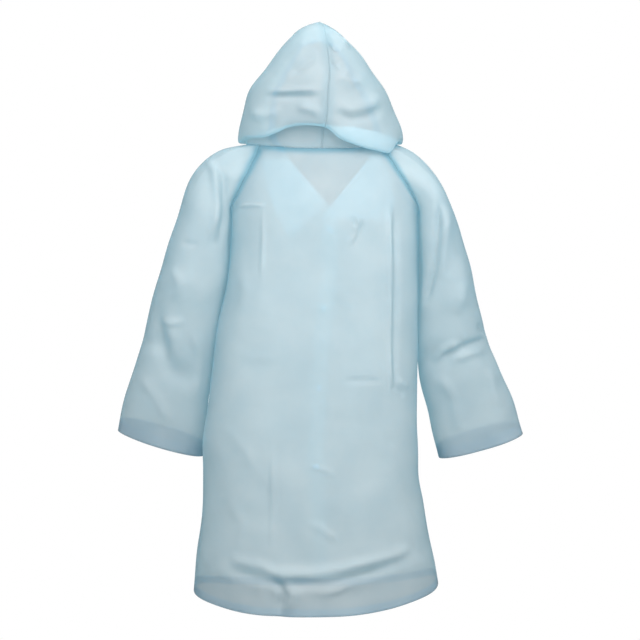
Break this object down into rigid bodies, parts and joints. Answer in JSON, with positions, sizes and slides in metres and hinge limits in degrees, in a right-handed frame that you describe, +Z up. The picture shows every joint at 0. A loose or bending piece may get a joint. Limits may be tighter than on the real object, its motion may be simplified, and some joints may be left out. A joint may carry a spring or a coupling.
{
  "type": "hooded raincoat",
  "caption": "Child's translucent plastic hooded raincoat with raglan sleeves, hood up, filled out as worn, open at face, neck, cuffs and hem.",
  "frame": {"origin": "between the shoulders at the height of the neck seam, where the wearer carries the coat", "axes": "+Z up, +Y towards the wearer's front, +X towards the wearer's right"},
  "size_m": [0.6988, 0.2708, 0.9757],
  "materials": {
    "film": "frosted translucent light blue film",
    "hem": "the same film, folded double and welded",
    "stud": "moulded translucent light blue"
  },
  "bodies": {
    "root": {"back_upper": "film", "back_lower": "film", "front_left_upper": "film", "front_left_lower": "film", "front_right_upper": "film", "front_right_lower": "film", "front_left_lapel": "film", "front_right_lapel": "film", "sleeve_left_shoulder": "film", "sleeve_left_arm": "film", "sleeve_left_forearm": "film", "sleeve_right_shoulder": "film", "sleeve_right_arm": "film", "sleeve_right_forearm": "film", "hood_left": "film", "hood_right": "film", "back_hem": "hem", "front_left_hem": "hem", "front_right_hem": "hem", "cuff_hem_left": "hem", "cuff_hem_right": "hem", "hood_hem_left": "hem", "hood_hem_right": "hem", "stud_cap_1": "stud", "stud_cap_2": "stud", "stud_cap_3": "stud", "stud_cap_4": "stud", "stud_post_1": "stud", "stud_post_2": "stud", "stud_post_3": "stud", "stud_post_4": "stud"}
  },
  "joints": []
}
